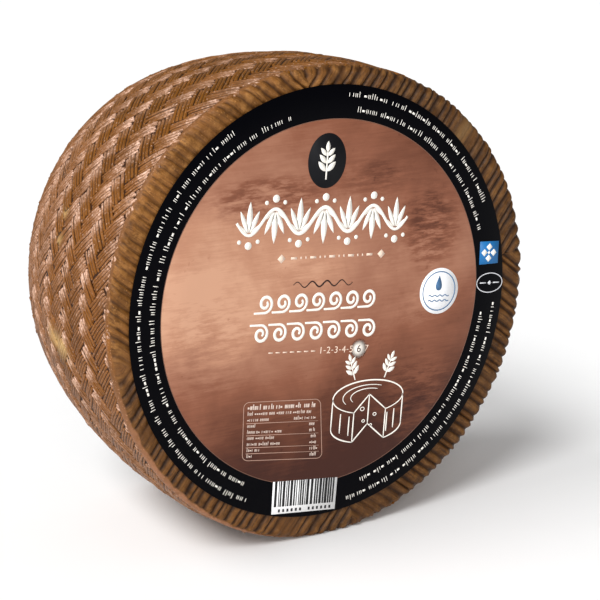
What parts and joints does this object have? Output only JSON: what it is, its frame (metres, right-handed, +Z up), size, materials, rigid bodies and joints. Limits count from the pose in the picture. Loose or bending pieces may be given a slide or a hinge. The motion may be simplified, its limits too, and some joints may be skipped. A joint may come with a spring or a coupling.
{
  "type": "aged sheep cheese wheel",
  "caption": "Whole wheel of hard aged sheep cheese standing on its edge, with a plaited-belt imprint round its brown rind, ridged faces and a round label on one face.",
  "frame": {"origin": "bottom centre of the whole part's box, on the floor under the wheel", "axes": "+Z up, the wheel's axis along Y, the labelled face toward -Y"},
  "size_m": [0.206, 0.0982, 0.2022],
  "materials": {
    "rind": "rough brown cheese rind, waxy on its crests, darker in its grooves",
    "label_print": "printed paper, black ring round a brushed copper-coloured disc"
  },
  "bodies": {
    "root": {"cheese": "rind", "label": "label_print"}
  },
  "joints": []
}
